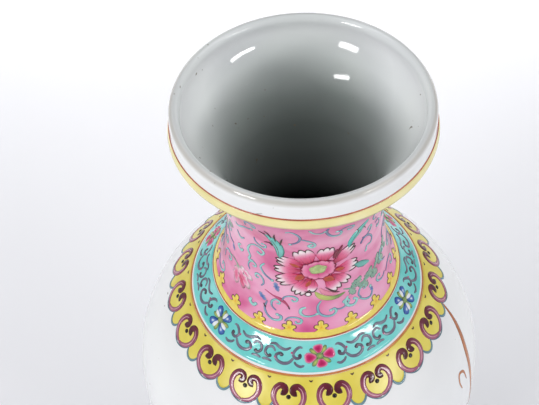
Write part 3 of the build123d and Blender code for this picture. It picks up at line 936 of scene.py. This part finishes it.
ink_strokes = [
    ([(-28.8, 27.6), (-26, 26.6), (-24.2, 23.4)], (0.1, 0.45, 0.2)),
    ([(-25.2, 30.8), (-23.6, 28.2), (-22.4, 24)], (0.1, 0.5, 0.2)),
    ([(-20.2, 30.2), (-20.8, 26.2), (-20.4, 21.6)], (0.1, 0.5, 0.2)),
    ([(-16.6, 26.8), (-17.6, 23.2), (-18.4, 18.6)], (0.1, 0.45, 0.15)),
    ([(-27.2, 17.4), (-24.2, 18.6), (-22.6, 16.4)], (0.1, 0.4, 0.15)),
    ([(-19.6, 8.4), (-20, 15.2), (-22.6, 22.2)], (0.1, 0.22, 0.1)),
    ([(18, 12), (21.2, 18.2), (25.6, 23.6)], (0.1, 0.3, 0.1)),
    ([(20.6, 23.4), (22, 20.8), (21, 18)], (0.1, 0.35, 0.1)),
    ([(27.4, 18), (26.2, 20.6), (24.6, 21.6)], (0.1, 0.35, 0.1)),
    ([(-27.6, -33.2), (-26.2, -35.6)], (0.3, 0.6)),
    ([(-14.9, -29.8), (-14.2, -32.4)], (0.2, 0.4)),
]
vine_line = [(13, -21.9), (17.1, -24), (21.4, -24.9), (25.4, -25), (29.8, -24.9), (33.6, -23.2),
             (37, -21.6), (41.1, -20), (46, -18.2)]


def lobed_leaf(work, spot, root, tip, wide, tones, lift=0.3):
    """A small toothed leaf from its stalk end to its tip."""
    root, tip = np.asarray(root, float), np.asarray(tip, float)
    axis = tip - root
    side = np.array([-axis[1], axis[0]]) / np.hypot(*axis)
    shape = []
    for share, out in ((0.0, 0.1), (0.2, 0.7), (0.32, 0.5), (0.5, 1.0), (0.62, 0.6), (0.8, 0.65),
                       (1.0, 0.0)):
        shape.append(root + axis * share + side * wide * out)
    for share, out in ((0.8, 0.65), (0.62, 0.6), (0.5, 1.0), (0.32, 0.5), (0.2, 0.7)):
        shape.append(root + axis * share - side * wide * out)
    work.patch(spot, shape, lift, 0.3, tones, rings=3, each=3)


def paint_sprays(spot):
    """The whole spray about one peony."""
    for path, half, tone in curl_paths:
        curls.stroke(spot, path, np.array(half) * 1.5, 0.3, 0.28, tone, each=5, edge=0.9)
        for end in (path[-1],) if len(path) > 3 else ():
            curls.patch(spot, ring_at(end, 1.05, 1.05, 10), 0.34, 0.3, (1.0, 1.0, 0.3), rings=3,
                        soften=False)
    for path, half, tone in leaf_strokes:
        teal_leaves.stroke(spot, path, np.array(half) * 1.45, 0.3, 0.34, tone, each=6, edge=-0.4)
    for path, half in ink_strokes:
        neck_ink.stroke(spot, path, np.array(half) * 1.15, 0.5, 0.18, each=5)
    vines.stroke(spot, vine_line, (0.4, 0.9, 0.8, 0.8, 0.5), 0.3, 0.24, (0.3, 0.6, 0.3), each=5)
    for k, (u, v) in enumerate(vine_line[1:]):
        side = 1 if k % 2 else -1
        lobed_leaf(vines, spot, (u - 0.6, v), (u + 2.4, v + side * 6.0), 2.5, (0.3, 0.8, 0.2))
        lobed_leaf(vines, spot, (u + 0.6, v), (u + 4.2, v - side * 4.4), 2.0, (0.1, 0.6, 0.2))
    crescents.stroke(spot, [(-1.6, -18.6), (1.0, -22.8), (5.4, -25.4), (10.0, -25.8), (14.0, -24.6)],
                     (0.5, 1.7, 1.7, 1.4, 0.4), 0.3, 0.3, (0.3, 0.0, 0.2, 0.8, 0.6), each=5)
    neck_rose.stroke(spot, [(0.6, -16.4), (3.0, -19.8), (6.6, -22.4), (10.2, -23.2)],
                     (0.6, 1.6, 1.5, 0.4), 0.36, 0.3, (0.9, 0.7, 0.8), each=5)
    neck_ink.stroke(spot, [(3.6, -16.2), (7.2, -20.4), (11.0, -22.6)], (0.15, 0.4, 0.15), 0.5, 0.2, each=5)
    neck_rose.stroke(spot, [(-27.5, -22.5), (-23.2, -24.7), (-19.2, -26.2), (-16.2, -28.4),
                            (-14.8, -31.0)], (0.35, 0.5, 1.4, 0.8, 0.35), 0.3, 0.26,
                            (0.5, 0.4, 0.15, 0.3), each=5)
    neck_ink.patch(spot, ring_at((-5.0, -20.0), 1.8, 1.8, 14), 0.5, 0.2, (0.5, 0.5), rings=2, soften=False)
    neck_white.patch(spot, ring_at((-5.0, -20.0), 1.25, 1.25, 14), 0.6, 0.4, (1.0, 1.0), rings=3,
                     soften=False)
    for root, tip, wide in (((-22.1, -14.4), (-20.2, -21.0), 1.9),
                            ((-30.6, -26.2), (-26.4, -31.2), 1.9), ((29.2, -32.6), (30.2, -37.6), 1.3),
                            ((-53.0, -8.0), (-51.0, -12.6), 1.5)):
        lobed_leaf(blue_buds, spot, root, tip, wide, (0.0, 0.5, 1.0))
    for root, tip, wide, tone in (((-46.4, -19.6), (-36.4, -29.8), 4.2, (0.3, 0.6, 0.9)),
        ((-47.4, -20.4), (-46.4, -34.2), 3.4, (0.25, 0.5, 0.85)),
                                  ((-44.4, -20.0), (-40.6, -33.0), 3.4, (0.1, 0.3, 0.7)),
                                  ((-44.6, -18.0), (-35.0, -21.6), 2.8, (0.4, 0.7, 1.0))):
        lobed_leaf(neck_white, spot, root, tip, wide, tone, 0.3 + 0.04 * tone[0])
    vines.stroke(spot, [(-45.6, -20.6), (-48.4, -18.6), (-51.4, -18.0), (-57.4, -20.5)],
                 (1.1, 0.5, 0.4, 0.3), 0.34, 0.26, (1.0, 0.5, 0.3), each=5)


for spot in (peony_spot, far_spot):
    paint_sprays(spot)

# Loose scrolls fill the ground among the sprays and at the sides of the neck.
scroll = np.array([(-6, -1.4), (-3.4, 2.4), (1.6, 3.4), (5, 1.2), (4.2, -1.8), (1.6, -1.8), (1.4, 0.2)])
scroll_places = [(-16, 33, 10, 1), (0, 36, -40, 1), (12, 29, 70, -1), (-8, 21, 150, 1), (7, 14, 20, -1),
                 (-17, 9, -70, 1), (-4, 3, 60, -1), (9, -3, 120, 1), (-14, -9, 10, 1), (1, -14, -30, -1),
                 (-22, -22, 100, 1), (-8, -27, 160, -1), (8, -24, 40, 1), (-16, -38, -20, 1),
                 (2, -39, 20, -1)]
front_places = [(-34, 28, 30, 1), (-30, 14, -30, -1), (-21, -31, 80, 1), (-12, -40.5, 0, 1),
                (12, -33, 30, -1), (24, -31, 60, 1), (30, 12, 40, -1), (36, 20, 100, 1),
                (14, 31, -20, 1), (31, 31, 20, -1), (-41, 33, 100, 1), (40, 8, -60, 1),
                (-31, -17, 120, -1), (-14, -25, 10, 1), (38, -34, 150, 1), (-36, -10, 60, 1)]


def loose_scroll(spot, u, v, swing, hand, size):
    """One short scroll, turned by an angle and drawn left or right handed."""
    swing = math.radians(swing)
    right = scroll[:, 0] * math.cos(swing) - hand * scroll[:, 1] * math.sin(swing)
    up = scroll[:, 0] * math.sin(swing) + hand * scroll[:, 1] * math.cos(swing)
    curls.stroke(spot, np.stack([size * right + u, size * up + v], 1), (0.4, 0.65, 0.7, 0.6, 0.5), 0.3,
                 0.28,
                 (0.2, 0.6, 0.9, 0.7), each=5, edge=0.9)


for spot in (peony_spot, far_spot):
    for u, v, swing, hand in front_places:
        loose_scroll(spot, u, v, swing, hand, 0.72)
for quarter in (90, 270):
    side_spot = (peony_turn + quarter, down_to(peony_height))
    for u, v, swing, hand in scroll_places:
        loose_scroll(side_spot, u, v, swing, hand, 1.0)
    for u, v, swing in ((-10.0, 12.0, 60), (3.0, -8.0, 115), (13.0, 6.0, 200)):
        swing = math.radians(swing)
        tip = (u + 7.5 * math.cos(swing), v + 7.5 * math.sin(swing))
        lobed_leaf(vines, side_spot, (u, v), tip, 2.4, (0.2, 0.7, 0.4))
rose_spray = tinted("rose_spray", [(0, "#A83058"), (0.4, "#C8557E"), (0.8, "#E58FA8"), (1, "#F0B8B8")])
curls.finish("neck_curls", curl_finish, "turquoise_enamel")
teal_leaves.finish("teal_leaves", teal_finish, "turquoise_enamel")
vines.finish("neck_vines", vine_finish, "green_enamel")
crescents.finish("crescent_leaves", leaf_green, "green_enamel")
blue_buds.finish("blue_buds", bud_blue, "blue_enamel")
neck_rose.finish("rose_sprays", rose_spray, "rose_enamel")
neck_ink.finish("neck_ink_lines", outline_ink, "black_enamel")
neck_white.finish("neck_buds", petal_finish, "white_enamel")

# The branch on the body. One long springing stem in an orange-brown wash runs down
# the white shoulder from under the collar, with one curl beside it.
stem_finish = tinted("stem_wash", [(0, "#A6562E"), (0.5, "#C27A4C"), (1, "#D9A482")], 200, mottle=0.4)
stems = Brushwork()
stem_points = [(80.6, 302.5), (78.4, 293), (75.8, 284.6), (73, 274.9), (71, 262), (69.8, 249.6),
               (69.4, 238), (70.2, 224)]
stem_spot = (72.0, down_to(262.0))


def on_body(turn, height):
    """A place on the body as mm right of and above the stem's spot."""
    return (math.radians(turn - stem_spot[0]) * width_at(stem_spot[1]), stem_spot[1] - down_to(height))


stems.stroke(stem_spot, [on_body(a, z) for a, z in stem_points], (0.6, 1.9, 2.3, 2.1, 1.5, 0.7), 0.0,
             0.14, (0.1, 0.4, 0.7, 0.3), each=8)
stems.stroke(stem_spot, [on_body(a, z) for a,
                         z in ((66.6, 262.0), (66.2, 270.0), (63.4, 272.9), (62.0, 268.0), (62.6, 262.0))],
             (0.5, 0.9, 1.1, 0.8, 0.4), 0.0, 0.12, (0.3, 0.5, 0.8), each=6)
stems.finish("body_stem", stem_finish, "iron_red_enamel")

# The foot border. A plain yellow band with an iron-red line over it closes the
# painting just above the glazed foot.
foot_band_top = 33.0
foot_band_foot = 24.0
foot_line_top = 33.9

lay_band("foot_yellow", down_to(foot_band_top), down_to(foot_band_foot), 0.0, 0.3, 1.1,
         collar_yellow, ["foot_yellow_band"])
lay_band("foot_red_stroke", down_to(foot_line_top), down_to(foot_band_top) + 0.1, 0.0, 0.34, 0.2,
         iron_red, ["foot_red_line"], 0.08)
